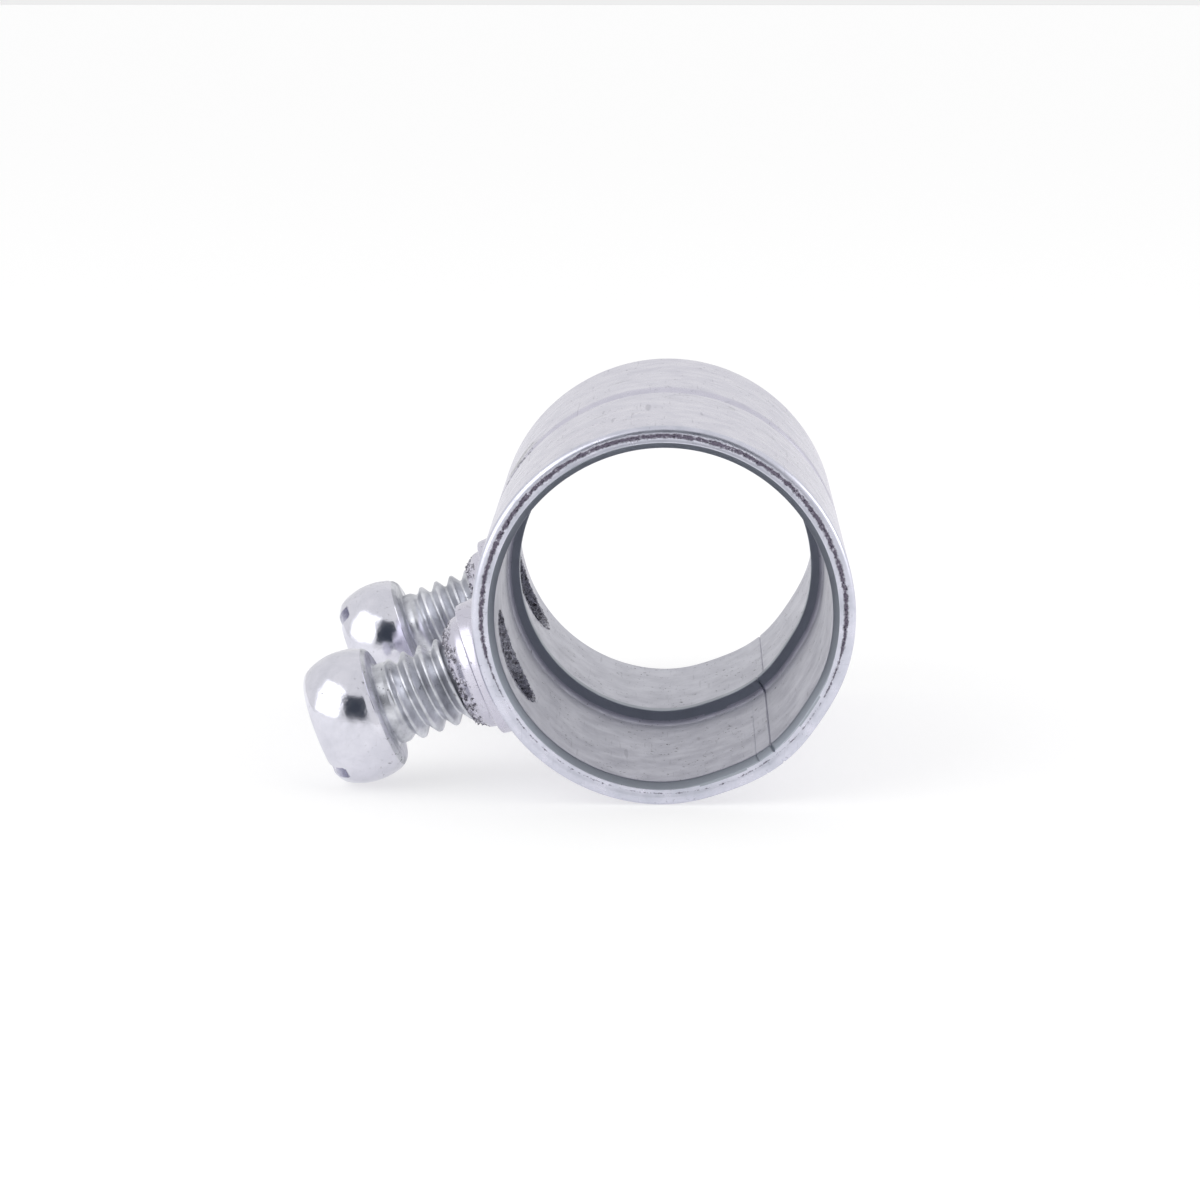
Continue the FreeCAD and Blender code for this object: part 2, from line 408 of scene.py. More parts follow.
def mix_colour(group, factor, a, b):
    made = add_node(group, "Mix", data_type="RGBA")
    for label, value in (("Factor", factor), ("A", a), ("B", b)):
        socket = next(s for s in made.inputs if s.name == label and s.enabled)
        if isinstance(value, (int, float, tuple)):
            socket.default_value = value
        else:
            group.links.new(value, socket)
    return next(s for s in made.outputs if s.enabled)


def zinc_skin_group():
    """Plated steel: soft blotches in the zinc, fine grain, hair scratches and a few dark pits."""
    group, given = start_group(
        "zinc_skin",
        [
            ("Zinc", "NodeSocketColor", (0.72, 0.71, 0.81, 1)),
            ("Dull Zinc", "NodeSocketColor", (0.5, 0.5, 0.58, 1)),
            ("Blotches", "NodeSocketFloat", 0.5),
            ("Scratches", "NodeSocketFloat", 0.5),
            ("Pits", "NodeSocketFloat", 0.5),
            ("Smoothness", "NodeSocketFloat", 0.3),
        ],
        [
            ("Colour", "NodeSocketColor"),
            ("Roughness", "NodeSocketFloat"),
            ("Height", "NodeSocketFloat"),
        ],
    )
    link = group.links.new
    flat = millimetre_coords(group)

    blotch = add_node(group, "TexNoise", {"Scale": 0.55, "Detail": 5.0, "Roughness": 0.62})
    link(flat, blotch.inputs["Vector"])
    blotch_mask = add_ramp(group, [(0.35, 0.0), (0.72, 1.0)])
    link(blotch.outputs["Fac"], blotch_mask.inputs["Fac"])

    grain = add_node(group, "TexNoise", {"Scale": 7.0, "Detail": 3.0, "Roughness": 0.7})
    link(flat, grain.inputs["Vector"])

    scratch_total = None
    for stretch, turn in (
        ((0.8, 0.22, 9.0), (8, 62, 0)),
        ((9.0, 0.35, 0.7), (0, 12, 28)),
    ):
        streak = add_node(group, "TexNoise", {"Scale": 1.0, "Detail": 0.0})
        link(millimetre_coords(group, stretch, turn), streak.inputs["Vector"])
        line = add_ramp(group, [(0.78, 0.0), (0.82, 1.0)])
        link(streak.outputs["Fac"], line.inputs["Fac"])
        line = line.outputs["Color"]
        scratch_total = (
            line if scratch_total is None else math_node(group, "MAXIMUM", scratch_total, line)
        )
    scratches = math_node(group, "MULTIPLY", scratch_total, given.outputs["Scratches"])

    spots = add_node(group, "TexNoise", {"Scale": 3.6, "Detail": 3.0, "Roughness": 0.6})
    link(millimetre_coords(group, (1.0, 0.55, 1.0)), spots.inputs["Vector"])
    spot = add_ramp(group, [(0.635, 0.0), (0.70, 1.0)])
    link(spots.outputs["Fac"], spot.inputs["Fac"])
    patches = add_node(group, "TexNoise", {"Scale": 0.28, "Detail": 2.0})
    link(flat, patches.inputs["Vector"])
    patch = add_ramp(group, [(0.42, 0.15), (0.62, 1.0)])
    link(patches.outputs["Fac"], patch.inputs["Fac"])
    pits = math_node(group, "MULTIPLY", spot.outputs["Color"], patch.outputs["Color"])
    pits = math_node(group, "MULTIPLY", pits, given.outputs["Pits"])

    dulled = math_node(group, "MULTIPLY", blotch_mask.outputs["Color"], given.outputs["Blotches"])
    colour = mix_colour(group, dulled, given.outputs["Zinc"], given.outputs["Dull Zinc"])
    marks = math_node(group, "MAXIMUM", math_node(group, "MULTIPLY", scratches, 0.55), pits)
    colour = mix_colour(group, marks, colour, (0.12, 0.12, 0.14, 1))

    rough = math_node(group, "MULTIPLY", dulled, 0.16)
    rough = math_node(group, "ADD", rough, given.outputs["Smoothness"])
    matt = math_node(group, "MULTIPLY", grain.outputs["Fac"], 0.08)
    rough = math_node(group, "ADD", rough, matt)
    rough = math_node(group, "ADD", rough, math_node(group, "MULTIPLY", marks, 0.25))

    height = math_node(group, "MULTIPLY", blotch.outputs["Fac"], 0.6)
    fine = math_node(group, "MULTIPLY", grain.outputs["Fac"], 0.10)
    height = math_node(group, "ADD", height, fine)
    height = math_node(group, "SUBTRACT", height, math_node(group, "MULTIPLY", marks, 0.35))

    out = group.nodes.new("NodeGroupOutput")
    link(colour, out.inputs["Colour"])
    link(rough, out.inputs["Roughness"])
    link(height, out.inputs["Height"])
    return group


def torn_steel_group():
    """Steel torn by the shear or the tap: dark pits between bright flecks, under thin zinc."""
    group, given = start_group(
        "torn_steel",
        [
            ("Bright", "NodeSocketColor", (0.62, 0.61, 0.70, 1)),
            ("Torn Colour", "NodeSocketColor", (0.17, 0.15, 0.20, 1)),
            ("Pit Colour", "NodeSocketColor", (0.02, 0.02, 0.03, 1)),
            ("Torn", "NodeSocketFloat", 0.5),
        ],
        [
            ("Colour", "NodeSocketColor"),
            ("Roughness", "NodeSocketFloat"),
            ("Height", "NodeSocketFloat"),
        ],
    )
    link = group.links.new
    flat = millimetre_coords(group)
    coarse = add_node(group, "TexNoise", {"Scale": 3.4, "Detail": 6.0, "Roughness": 0.72})
    link(flat, coarse.inputs["Vector"])
    crumbs = add_node(group, "TexNoise", {"Scale": 9.0, "Detail": 3.0, "Roughness": 0.6})
    link(flat, crumbs.inputs["Vector"])
    shift = math_node(group, "MULTIPLY", given.outputs["Torn"], 0.4)
    shifted = math_node(group, "ADD", coarse.outputs["Fac"], shift)
    torn = add_ramp(group, [(0.62, 0.0), (0.74, 1.0)])
    link(shifted, torn.inputs["Fac"])
    pit = add_ramp(group, [(0.36, 1.0), (0.50, 0.0)])
    link(crumbs.outputs["Fac"], pit.inputs["Fac"])
    broken = mix_colour(
        group, pit.outputs["Color"], given.outputs["Torn Colour"], given.outputs["Pit Colour"]
    )
    colour = mix_colour(group, torn.outputs["Color"], given.outputs["Bright"], broken)
    rough = math_node(group, "MULTIPLY", torn.outputs["Color"], 0.25)
    rough = math_node(group, "ADD", rough, 0.27)
    fine = math_node(group, "MULTIPLY", crumbs.outputs["Fac"], 0.5)
    height = math_node(group, "ADD", coarse.outputs["Fac"], fine)
    out = group.nodes.new("NodeGroupOutput")
    link(colour, out.inputs["Colour"])
    link(rough, out.inputs["Roughness"])
    link(height, out.inputs["Height"])
    return group


zinc_skin = zinc_skin_group()
torn_steel = torn_steel_group()

SCUFFS = [  # place across and along the top (mm), half length, half width, turn, hollow loop
    (2.4, -4.6, 2.6, 1.7, 6, True),
    (7.6, -9.0, 1.3, 0.35, -38, False),
    (8.6, -10.5, 0.9, 0.22, -40, False),
    (-3.6, 9.0, 1.5, 0.5, 5, False),
    (-4.8, -9.5, 0.8, 0.3, 20, False),
    (5.6, 12.0, 1.1, 0.4, -30, False),
]
STAIN_AT = (-11.0, 3.5, 7.5)  # a speckled stain on the shoulder over the rear boss
STAIN_REACH = 3.2
SCUFFED_ABOVE = 3.0


def scuff_marks(tree):
    """Mask of the rubbed marks that handling left on top of the sleeve."""
    link = tree.links.new
    flat = millimetre_coords(tree)
    wander = add_node(tree, "TexNoise", {"Scale": 0.45, "Detail": 2.0})
    link(flat, wander.inputs["Vector"])
    loose = math_node(tree, "SUBTRACT", wander.outputs["Fac"], 0.5)
    loose = math_node(tree, "MULTIPLY", loose, 0.9)
    above = add_node(tree, "SeparateXYZ")
    link(flat, above.inputs[0])
    on_top = math_node(tree, "GREATER_THAN", above.outputs["Z"], SCUFFED_ABOVE)
    total = None
    for across, along, half_length, half_width, turn, hollow in SCUFFS:
        place = add_node(tree, "Mapping", vector_type="TEXTURE")
        place.inputs["Location"].default_value = (across, along, 0)
        place.inputs["Rotation"].default_value = (0, 0, math.radians(turn))
        place.inputs["Scale"].default_value = (half_length, half_width, 1e4)
        link(flat, place.inputs["Vector"])
        span = add_node(tree, "VectorMath", operation="LENGTH")
        link(place.outputs["Vector"], span.inputs[0])
        reach = math_node(tree, "ADD", span.outputs["Value"], loose)
        if hollow:
            edge = math_node(tree, "ABSOLUTE", math_node(tree, "SUBTRACT", reach, 0.9), 0)
            mark = math_node(tree, "SUBTRACT", 1.0, math_node(tree, "MULTIPLY", edge, 11.0))
        else:
            mark = math_node(tree, "MULTIPLY", math_node(tree, "SUBTRACT", 0.75, reach), 2.0)
        mark = held(tree, mark, 0.8)
        total = mark if total is None else math_node(tree, "MAXIMUM", total, mark)
    total = math_node(tree, "MULTIPLY", total, on_top)
    speck = add_node(tree, "TexNoise", {"Scale": 2.2, "Detail": 4.0, "Roughness": 0.7})
    link(flat, speck.inputs["Vector"])
    near = add_node(tree, "VectorMath", operation="DISTANCE")
    near.inputs[1].default_value = STAIN_AT
    link(flat, near.inputs[0])
    edge = math_node(tree, "MULTIPLY", near.outputs["Value"], 0.3 / STAIN_REACH)
    stain = math_node(tree, "SUBTRACT", speck.outputs["Fac"], math_node(tree, "ADD", edge, 0.30))
    stain = held(tree, math_node(tree, "MULTIPLY", stain, 9.0), 0.85)
    gaps = math_node(tree, "SUBTRACT", speck.outputs["Fac"], 0.30)
    gaps = math_node(tree, "MULTIPLY", gaps, 2.2)
    broken = math_node(tree, "MULTIPLY", total, gaps)
    return math_node(tree, "MAXIMUM", broken, stain)


def metal_finish(name, group, inputs, bump=0.15, bump_mm=0.05, scuffed=False):
    """Metal material whose colour, roughness and relief come from one of the groups above."""
    material = bpy.data.materials.new(name)
    material.use_nodes = True
    tree = material.node_tree
    shader = tree.nodes["Principled BSDF"]
    shader.inputs["Metallic"].default_value = 1.0
    look = add_node(tree, "Group", node_tree=group)
    for key, value in inputs.items():
        look.inputs[key].default_value = value
    relief = add_node(tree, "Bump", {"Strength": bump, "Distance": bump_mm * MM})
    colour = look.outputs["Colour"]
    if scuffed:
        colour = mix_colour(tree, scuff_marks(tree), colour, (0.20, 0.20, 0.23, 1))
    tree.links.new(colour, shader.inputs["Base Color"])
    tree.links.new(look.outputs["Roughness"], shader.inputs["Roughness"])
    tree.links.new(look.outputs["Height"], relief.inputs["Height"])
    tree.links.new(relief.outputs["Normal"], shader.inputs["Normal"])
    return material


sleeve_zinc = metal_finish(
    "sleeve_zinc",
    zinc_skin,
    {
        "Zinc": (0.68, 0.665, 0.76, 1),
        "Dull Zinc": (0.54, 0.53, 0.62, 1),
        "Blotches": 0.6,
        "Scratches": 0.5,
        "Pits": 0.75,
        "Smoothness": 0.20,
    },
    bump=0.25,
    bump_mm=0.05,
    scuffed=True,
)
# Zinc inside the bore: more mottled and pitted than the outside, and painted darker as painted
# shade inside the tube.
bore_zinc_painted_shade = metal_finish(
    "bore_zinc_painted_shade",
    zinc_skin,
    {
        "Zinc": (0.58, 0.58, 0.65, 1),
        "Dull Zinc": (0.47, 0.47, 0.53, 1),
        "Blotches": 0.7,
        "Scratches": 0.25,
        "Pits": 0.9,
        "Smoothness": 0.32,
    },
    bump=0.22,
    bump_mm=0.05,
)
tapped_mouth = metal_finish(
    "tapped_mouth",
    torn_steel,
    {"Torn": 0.36, "Torn Colour": (0.20, 0.19, 0.22, 1), "Bright": (0.56, 0.56, 0.63, 1)},
    bump=0.9,
    bump_mm=0.15,
)


def sheared_rim_finish():
    """Cut end: a bright rolled edge, a dark band and a thin bright burnished line.
    The dark band is partly fracture, partly painted reflection; it is painted thinner at the
    bottom."""
    material = bpy.data.materials.new("sheared_rim")
    material.use_nodes = True
    tree = material.node_tree
    link = tree.links.new
    shader = tree.nodes["Principled BSDF"]
    shader.inputs["Metallic"].default_value = 1.0
    flat = millimetre_coords(tree)
    parts = add_node(tree, "SeparateXYZ")
    link(flat, parts.inputs[0])
    x, z = parts.outputs["X"], parts.outputs["Z"]
    squares = (math_node(tree, "MULTIPLY", side, side) for side in (x, z))
    radius = math_node(tree, "SQRT", math_node(tree, "ADD", *squares), 0)
    ragged = add_node(tree, "TexNoise", {"Scale": 1.5, "Detail": 6.0, "Roughness": 0.85})
    link(flat, ragged.inputs["Vector"])
    spread = math_node(tree, "SUBTRACT", ragged.outputs["Fac"], 0.5)
    spread = math_node(tree, "MULTIPLY", spread, 0.7)
    # Dark band across the cut face, painted wider at the top than at the bottom: partly fracture
    # texture, partly a painted reflection of the dark room in front.
    upward = add_node(tree, "MapRange", {"From Min": -7.0, "From Max": 0.8})
    upward.interpolation_type = "SMOOTHSTEP"
    link(z, upward.inputs["Value"])
    centre = math_node(tree, "ADD", math_node(tree, "MULTIPLY", upward.outputs[0], 0.20), 12.56)
    half = math_node(tree, "ADD", math_node(tree, "MULTIPLY", upward.outputs[0], 0.17), 0.03)
    away = math_node(tree, "ABSOLUTE", math_node(tree, "SUBTRACT", radius, centre), 0)
    inside = math_node(tree, "SUBTRACT", half, away)
    inside = math_node(tree, "ADD", inside, spread)
    band = held(tree, math_node(tree, "MULTIPLY", inside, 1 / 0.10))
    skin = add_node(tree, "Group", node_tree=zinc_skin)
    for key, value in {
        "Zinc": (0.70, 0.70, 0.80, 1),
        "Dull Zinc": (0.52, 0.54, 0.62, 1),
        "Blotches": 0.8,
        "Scratches": 0.2,
        "Pits": 0.3,
        "Smoothness": 0.22,
    }.items():
        skin.inputs[key].default_value = value
    broken = add_node(tree, "Group", node_tree=torn_steel)
    broken.inputs["Torn"].default_value = 0.74
    colour = mix_colour(tree, band, skin.outputs["Colour"], broken.outputs["Colour"])
    link(colour, shader.inputs["Base Color"])
    rough = math_node(tree, "MULTIPLY", band, 0.25)
    link(math_node(tree, "ADD", rough, skin.outputs["Roughness"]), shader.inputs["Roughness"])
    relief = add_node(tree, "Bump", {"Strength": 0.7, "Distance": 0.10 * MM})
    deep = math_node(tree, "MULTIPLY", band, broken.outputs["Height"])
    shallow = math_node(tree, "MULTIPLY", skin.outputs["Height"], 0.4)
    link(math_node(tree, "ADD", deep, shallow), relief.inputs["Height"])
    link(relief.outputs["Normal"], shader.inputs["Normal"])
    return material


sheared_rim = sheared_rim_finish()
# Bevel and ridge zinc, painted dark blue-grey: a painted reflection of the dark room in front
# that they face.
painted_reflection_zinc = metal_finish(
    "painted_reflection_zinc",
    zinc_skin,
    {
        "Zinc": (0.40, 0.43, 0.48, 1),
        "Dull Zinc": (0.34, 0.37, 0.42, 1),
        "Blotches": 0.5,
        "Scratches": 0.0,
        "Pits": 0.0,
        "Smoothness": 0.36,
    },
    bump=0.1,
)

sleeve = build_sleeve("rolled_sleeve")
for finish in (sleeve_zinc, sheared_rim, painted_reflection_zinc, bore_zinc_painted_shade, tapped_mouth):
    sleeve.data.materials.append(finish)
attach(sleeve, "sleeve_body")
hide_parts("sleeve")

# ---------------------------------------------------------------------------------------------
# Boss burrs. When each drawn boss was tapped, the tap pushed up a ragged lip of steel round
# the hole, and a thinner one where it broke through into the bore. Both were plated over.
BURR_STEPS = 420
LIP_RUFFLE = 0.26
BORE_BURR_RUFFLE = 0.12
LIP_PROFILE = [  # radius, level above the bore axis and looseness, from boss flank to hole
    (4.12, 14.82, 0.0), (4.03, 14.95, 0.5), (3.94, 15.05, 1.0), (3.85, 15.15, 1.0),
    (3.77, 15.25, 1.0), (3.70, 15.35, 1.0), (3.64, 15.45, 1.0), (3.58, 15.55, 1.0),
    (3.53, 15.64, 1.0), (3.48, 15.71, 0.9), (3.42, 15.75, 0.8), (3.36, 15.73, 0.6),
    (3.31, 15.66, 0.4), (3.27, 15.55, 0.2), (3.25, 15.40, 0.1),
]
BORE_BURR_PROFILE = [
    (3.66, 11.90, 0.0), (3.58, 11.85, 0.5), (3.51, 11.80, 1.0), (3.45, 11.77, 1.0),
    (3.39, 11.76, 1.0), (3.34, 11.79, 1.0), (3.30, 11.86, 0.8), (3.27, 11.97, 0.4),
    (3.24, 12.12, 0.2),
]


def build_burr(name, along, profile, ruffle, seed, on_bore=False):
    """Torn ring revolved from a profile, its loose points pushed out or in by rough noise."""
    bm = bmesh.new()
    rings = []
    middle = Vector((0, along, 0))
    for k in range(BURR_STEPS):
        around = 2 * math.pi * k / BURR_STEPS
        ray = Vector((math.cos(around), math.sin(around), 0))
        ring = []
        for s, (radius, level, loose) in enumerate(profile):
            here = Vector((ray.x * 4.5, ray.y * 4.5, s * 0.55 + seed))
            fold = 1 - 2 * abs(noise.noise(here))
            torn = noise.fractal(here * 2.3, 0.7, 2.1, 5)
            notch = min(0.0, noise.noise(ray * 3.1 + Vector((seed, 0, 0))) + 0.15) * 1.4
            push = ruffle * loose * (0.9 * fold + 0.8 * torn - 0.75)
            r = radius + push * 0.7
            z = level + (push + ruffle * notch * loose) * 0.7
            if on_bore:
                sag = BORE_R - math.sqrt(BORE_R**2 - (r * ray.y) ** 2)
                z = level - sag - (push * 0.7)
            across = screw_side * (r * ray.x) + screw_down * (r * ray.y)
            ring.append(bm.verts.new(middle + screw_out * z + across))
        rings.append(ring)
    for k, ring in enumerate(rings):
        after = rings[(k + 1) % BURR_STEPS]
        for s in range(len(profile) - 1):
            bm.faces.new((ring[s], ring[s + 1], after[s + 1], after[s]))
    bmesh.ops.scale(bm, vec=(MM, MM, MM), verts=bm.verts)
    piece = as_piece(bm, name)
    smooth_to(piece, 50)
    return piece


chewed_lip = metal_finish(
    "chewed_lip",
    torn_steel,
    {"Torn": 0.46, "Torn Colour": (0.20, 0.19, 0.23, 1), "Bright": (0.74, 0.73, 0.81, 1)},
    bump=0.9,
    bump_mm=0.16,
)
for end, along, seed in (("front", -BOSS_ALONG, 2.0), ("rear", BOSS_ALONG, 7.0)):
    lip = build_burr(f"{end}_boss_lip", along, LIP_PROFILE, LIP_RUFFLE, seed)
    inner_lip = build_burr(
        f"{end}_bore_burr", along, BORE_BURR_PROFILE, BORE_BURR_RUFFLE, seed + 4, on_bore=True
    )
    for piece, finish in ((lip, chewed_lip), (inner_lip, tapped_mouth)):
        piece.data.materials.append(finish)
        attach(piece, "sleeve_body")

# ---------------------------------------------------------------------------------------------
# Set screws. Headed from steel wire, slotted, thread-rolled 1/4-20 and bright zinc plated.
# Each screws into its boss and clamps the conduit; the head stands clear of the boss here.
UNDER_HEAD = 21.4
SCREW_TIP = 12.5
THREAD_R = 3.175
ROOT_R = 2.55
NECK_R = 3.0
NECK_LENGTH = 0.95
PITCH = 1.27
POINT_CHAMFER = 0.7
CREST_SHARE = 0.14  # share of the pitch that the crest is flat over
FLANK_SHARE = 0.76
HEAD = [  # height above the underside, radius, rounding
    (0.0, 4.15, 0.12),
    (0.25, 4.42, 0.1),
    (0.65, 4.65, 0.15),
    (1.40, 4.86, 0.35),
    (2.20, 4.93, 0.35),
    (3.05, 4.87, 0.4),
    (4.00, 4.58, 0.35),
    (4.65, 4.20, 0.3),
    (5.00, 3.70, 0.2),
]
HEAD_CROWN = 5.15
CROWN_EDGE = 5.03  # height at which the crown starts, and its radius there
CROWN_R = 3.4
SLOT_WIDTH = 1.3
SLOT_DEPTH = 1.2
SLOT_CORNER = 0.12
SCREW_STEPS = 144
ROWS_PER_PITCH = 22


def thread_radius(level, around, start):
    """Radius of the rolled thread at one level, with its run-out at the neck and the point."""
    phase = (level / PITCH - around / (2 * math.pi) + start) % 1.0
    away = abs(phase - 0.5) * 2
    ridge = 1 - min(1.0, max(0.0, (away - CREST_SHARE) / FLANK_SHARE))
    ridge = ridge * ridge * (3 - 2 * ridge) * 0.25 + ridge * 0.75
    neck_start = UNDER_HEAD - NECK_LENGTH
    fade = min(1.0, max(0.0, (neck_start + 0.25 - level) / 0.75))
    root = ROOT_R + (NECK_R - ROOT_R) * (1 - fade)
    radius = root + (THREAD_R - root) * ridge * (0.15 + 0.85 * fade)
    point = THREAD_R - POINT_CHAMFER + (level - SCREW_TIP)
    return min(radius, point)


def screw_shank(bm, start):
    """Threaded shank from the point to the underside, its mesh lines running along the helix."""
    low, high = SCREW_TIP, UNDER_HEAD - 0.06
    count = int((high - low) / PITCH * ROWS_PER_PITCH) + ROWS_PER_PITCH + 3
    first = low - PITCH * (1 + 1 / ROWS_PER_PITCH)
    rows = []
    for i in range(count + ROWS_PER_PITCH):
        row = []
        for j in range(SCREW_STEPS):
            around = 2 * math.pi * j / SCREW_STEPS
            level = first + PITCH * (i / ROWS_PER_PITCH + j / SCREW_STEPS)
            level = min(high, max(low, level))
            r = thread_radius(level, around, start)
            row.append(bm.verts.new((r * math.cos(around), r * math.sin(around), level)))
        rows.append(row)
    for i in range(count - 1):
        for j in range(SCREW_STEPS):
            row, column = (i, j + 1) if j + 1 < SCREW_STEPS else (i + ROWS_PER_PITCH, 0)
            bm.faces.new((rows[i][j], rows[row][column], rows[row + 1][column], rows[i + 1][j]))
    bmesh.ops.remove_doubles(bm, verts=bm.verts, dist=0.0005)
    loose = [v for v in bm.verts if not v.link_faces]
    bmesh.ops.delete(bm, geom=loose, context="VERTS")


def slot_cutter(name, slot_angle):
    """Bar that cuts the driver slot across the head, with rounded corners at the slot's floor."""
    bar = bmesh.new()
    length, height = 14, 4
    floor = UNDER_HEAD + HEAD_CROWN - SLOT_DEPTH
    bmesh.ops.create_cube(bar, size=1)
    bmesh.ops.scale(bar, vec=(SLOT_WIDTH, length, height), verts=bar.verts)
    bmesh.ops.translate(bar, vec=(0, 0, floor + height / 2), verts=bar.verts)
    low = [
        e for e in bar.edges
        if all(v.co.z < floor + 0.1 for v in e.verts)
        and abs(e.verts[0].co.x - e.verts[1].co.x) < 0.1
    ]
    bmesh.ops.bevel(bar, geom=low, offset=SLOT_CORNER, segments=3, affect="EDGES")
    turn = math.radians(-slot_angle)
    for v in bar.verts:
        x, y = v.co.x, v.co.y
        v.co.x = x * math.cos(turn) - y * math.sin(turn)
        v.co.y = x * math.sin(turn) + y * math.cos(turn)
    return as_piece(bar, name)


def build_screw(name, along, slot_angle, start, seed):
    bm = bmesh.new()
    screw_shank(bm, start)
    open_edges = [e for e in bm.edges if e.is_boundary]
    tip_ring = [e for e in open_edges if e.verts[0].co.z < SCREW_TIP + 0.01]
    top_ring = [e for e in open_edges if e.verts[0].co.z > UNDER_HEAD - 0.1]
    bmesh.ops.holes_fill(bm, edges=tip_ring, sides=0)
    bmesh.ops.holes_fill(bm, edges=top_ring, sides=0)

    outline = [(UNDER_HEAD - 0.5, 2.2, 0), (UNDER_HEAD - 0.5, NECK_R - 0.1, 0)]
    outline += [(UNDER_HEAD - 0.12, NECK_R - 0.02, 0.1), (UNDER_HEAD, NECK_R + 0.2, 0.1)]
    outline += [(UNDER_HEAD, 3.95, 0)] + [(UNDER_HEAD + z, r, f) for z, r, f in HEAD]
    outline.append((UNDER_HEAD + CROWN_EDGE, CROWN_R, 0))
    levels = [(p.x, p.y) for p in rounded(outline, 4)]
    for share in (0.85, 0.7, 0.55, 0.4, 0.25, 0.12):
        rise = (HEAD_CROWN - CROWN_EDGE) * (1 - share**2)
        levels.append((UNDER_HEAD + CROWN_EDGE + rise, CROWN_R * share))

    def hammered(level, r, around):
        """Head surface, left a little uneven by the heading die."""
        ray = Vector((math.cos(around), math.sin(around), 0)) * r
        here = ray + Vector((0, 0, level)) + Vector((seed * 5, 0, 0))
        dent = 0.10 * noise.noise(here * 0.22) + 0.022 * noise.noise(here * 0.9)
        dent += 0.006 * noise.noise(here * 2.6)
        if level > UNDER_HEAD + 0.3 and r > 1.0:
            ray *= 1 + (dent - 0.03) / r
        return ray + Vector((0, 0, level))

    head_bm = bmesh.new()
    rows = []
    for level, r in levels:
        row = []
        for j in range(SCREW_STEPS):
            row.append(head_bm.verts.new(hammered(level, r, 2 * math.pi * j / SCREW_STEPS)))
        rows.append(row)
    for row, after in zip(rows, rows[1:]):
        for j in range(SCREW_STEPS):
            k = (j + 1) % SCREW_STEPS
            head_bm.faces.new((row[j], row[k], after[k], after[j]))
    head_bm.faces.new(rows[0])
    hub = head_bm.verts.new((0, 0, UNDER_HEAD + HEAD_CROWN))
    for j in range(SCREW_STEPS):
        head_bm.faces.new((rows[-1][j], rows[-1][(j + 1) % SCREW_STEPS], hub))

    piece = as_piece(bm, name)
    head = as_piece(head_bm, name + "_head")
    cutter = slot_cutter(name + "_slot", slot_angle)
    for other, operation in ((head, "UNION"), (cutter, "DIFFERENCE")):
        join = piece.modifiers.new(operation, "BOOLEAN")
        join.operation, join.object, join.solver = operation, other, "EXACT"
    depsgraph = bpy.context.evaluated_depsgraph_get()
    slotted = bpy.data.meshes.new_from_object(piece.evaluated_get(depsgraph))
    piece.modifiers.clear()
    bpy.data.objects.remove(cutter)
    bpy.data.objects.remove(head)
    piece.data = slotted
    slotted.name = name

    # stand it on its own axis: x of the turned screw lies against screw_down, y along the bore
    for v in slotted.vertices:
        x, y, z = v.co
        v.co = (screw_out * z - screw_down * x + screw_side * y + Vector((0, along, 0))) * MM
    smooth_to(piece, 34)
    return piece


screw_zinc = metal_finish(
    "screw_zinc",
    zinc_skin,
    {
        "Zinc": (0.76, 0.755, 0.83, 1),
        "Dull Zinc": (0.56, 0.565, 0.64, 1),
        "Blotches": 0.6,
        "Scratches": 0.1,
        "Pits": 0.7,
        "Smoothness": 0.09,
    },
    bump=0.45,
    bump_mm=0.07,
)
thread_zinc = metal_finish(
    "thread_zinc",
    zinc_skin,
    {
        "Zinc": (0.76, 0.77, 0.82, 1),
        "Dull Zinc": (0.36, 0.37, 0.41, 1),
        "Blotches": 1.0,
        "Scratches": 0.0,
        "Pits": 0.8,
        "Smoothness": 0.27,
    },
    bump=0.7,
    bump_mm=0.06,
)
cut_point = metal_finish(
    "cut_point",
    torn_steel,
    {"Torn": 0.18, "Torn Colour": (0.25, 0.25, 0.28, 1), "Bright": (0.66, 0.66, 0.73, 1)},
    bump=0.4,
    bump_mm=0.05,
)
for end, along, slot_angle, thread_start, seed in (
    ("front", -BOSS_ALONG, 44.0, 0.57, 1.3),
    ("rear", BOSS_ALONG, -57.0, 0.0, 8.6),
):
    screw = build_screw(f"{end}_slotted_screw", along, slot_angle, thread_start, seed)
    screw.data.materials.clear()
    for finish in (screw_zinc, thread_zinc, cut_point):
        screw.data.materials.append(finish)
    for face in screw.data.polygons:
        level = (face.center / MM - Vector((0, along, 0))).dot(screw_out)
        if level < SCREW_TIP + 0.1:
            face.material_index = 2  # cut_point
        elif level < UNDER_HEAD + 0.3:
            face.material_index = 1  # thread_zinc
    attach(screw, f"{end}_screw")
    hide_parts(f"{end}_set_screw")

# ---------------------------------------------------------------------------------------------
# Bench and light. A plain white floor under the coupling, white all round, and darker only
# in front of it, where the room behind the viewer is unlit.
bench_mesh = bpy.data.meshes.new("bench")
bench_mesh.from_pydata(
    [(-3, -3, 0), (3, -3, 0), (3, 3, 0), (-3, 3, 0)], [], [(0, 1, 2, 3)]
)
bench = bpy.data.objects.new("bench", bench_mesh)
bench.location = (0, 0, cad_low.z)
bpy.context.collection.objects.link(bench)
paper = bpy.data.materials.new("white_paper")
paper.use_nodes = True
sheet = paper.node_tree.nodes["Principled BSDF"].inputs
sheet["Base Color"].default_value = (0.48, 0.48, 0.48, 1)
sheet["Roughness"].default_value = 0.9
sheet["Emission Color"].default_value = (1, 1, 1, 1)  # lit from below like a light table
sheet["Emission Strength"].default_value = 0.55
bench.data.materials.append(paper)

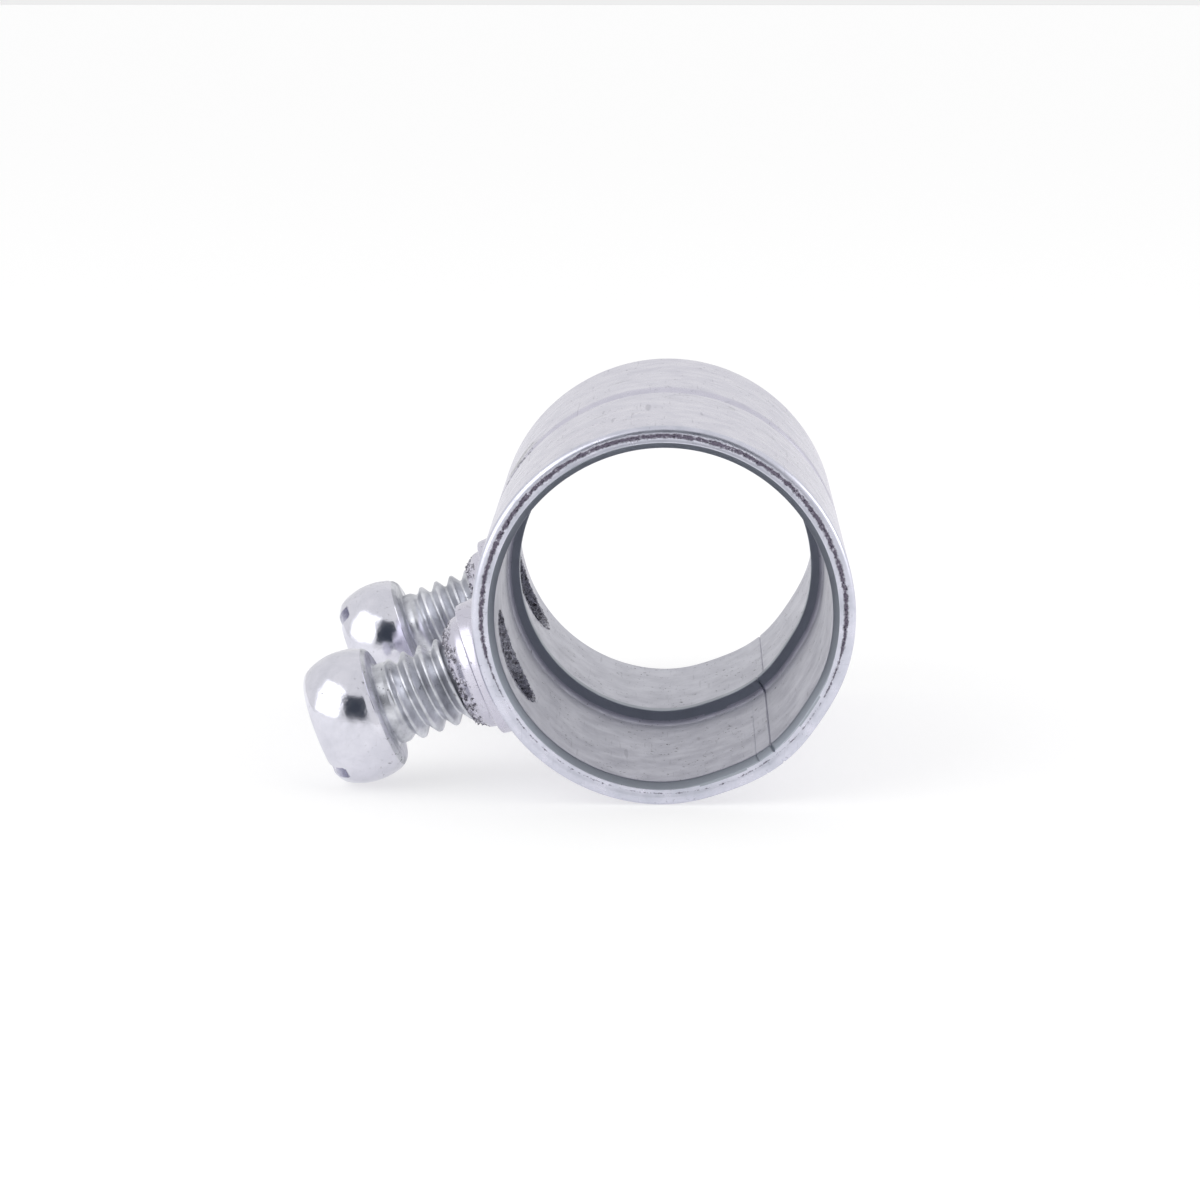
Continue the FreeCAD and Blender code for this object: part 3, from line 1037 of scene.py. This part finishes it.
world = bpy.data.worlds.new("studio")
bpy.context.scene.world = world
world.use_nodes = True
room = world.node_tree
background = room.nodes["Background"]
ROOM_LIGHT = 0.86
DARK_LIGHT = 0.07
DARK_AT = (0.0, 25.0)  # degrees to the right of straight back, and up
DARK_HALF = (21.0, 21.0)
DARK_EDGE = 0.02  # slope over which the panel fades into the room


def slope_from(axis_vector, forward):
    """Slope of the looked-at direction across one side of the dark panel."""
    coords = add_node(room, "TexCoord")
    across = add_node(room, "VectorMath", operation="DOT_PRODUCT")
    along = add_node(room, "VectorMath", operation="DOT_PRODUCT")
    across.inputs[1].default_value = axis_vector
    along.inputs[1].default_value = forward
    room.links.new(coords.outputs["Generated"], across.inputs[0])
    room.links.new(coords.outputs["Generated"], along.inputs[0])
    depth = math_node(room, "MAXIMUM", along.outputs["Value"], 0.05)
    slope = math_node(room, "DIVIDE", across.outputs["Value"], depth)
    return math_node(room, "ABSOLUTE", slope, 0)


turn, lift = (math.radians(d) for d in DARK_AT)
dark_forward = Vector(
    (math.sin(turn) * math.cos(lift), -math.cos(turn) * math.cos(lift), math.sin(lift))
)
dark_side = Vector((math.cos(turn), math.sin(turn), 0))
dark_up = dark_side.cross(dark_forward)
dark = None
for side, half in ((dark_side, DARK_HALF[0]), (dark_up, DARK_HALF[1])):
    edge = math.tan(math.radians(half))
    slope = slope_from(side, dark_forward)
    inside = math_node(room, "SUBTRACT", edge, slope)
    inside = held(room, math_node(room, "MULTIPLY", inside, 1 / DARK_EDGE))
    dark = inside if dark is None else math_node(room, "MULTIPLY", dark, inside)
glow = math_node(room, "MULTIPLY", dark, DARK_LIGHT - ROOM_LIGHT)
room.links.new(math_node(room, "ADD", glow, ROOM_LIGHT), background.inputs["Strength"])
tone = mix_colour(room, dark, (1, 1, 1, 1), (0.62, 0.75, 1.0, 1))
room.links.new(tone, background.inputs["Color"])


def softbox(name, place, aim, size, brightness):
    """Rectangular light; brightness is how much brighter than the room it looks."""
    lamp = bpy.data.lights.new(name, "AREA")
    lamp.shape = "RECTANGLE"
    lamp.size, lamp.size_y = size
    lamp.energy = brightness * ROOM_LIGHT * math.pi * size[0] * size[1]
    box = bpy.data.objects.new(name, lamp)
    box.location = place
    box.rotation_euler = (Vector(aim) - Vector(place)).to_track_quat("-Z", "Y").to_euler()
    bpy.context.collection.objects.link(box)


softbox("right_softbox", (0.38, -0.02, 0.16), (0, 0, 0), (0.30, 0.25), 1.6)
softbox("left_softbox", (-0.36, -0.25, 0.24), (-0.02, -0.01, 0), (0.50, 0.46), 1.35)

# ---------------------------------------------------------------------------------------------
# Camera, a long lens about 0.3 m away, looking down a little along the bore.
camera_data = bpy.data.cameras.new("camera")
camera_data.sensor_width = 36.0
camera_data.lens = 117.0
camera_data.clip_start, camera_data.clip_end = 0.01, 20
camera = bpy.data.objects.new("camera", camera_data)
camera.location = (0.0016, -0.28999, 0.04718)
camera.rotation_mode = "QUATERNION"
camera.rotation_quaternion = Vector((-0.02216, 0.98537, -0.16896)).to_track_quat("-Z", "Y")
bpy.context.collection.objects.link(camera)
bpy.context.scene.camera = camera
bpy.context.scene.view_settings.view_transform = "Standard"
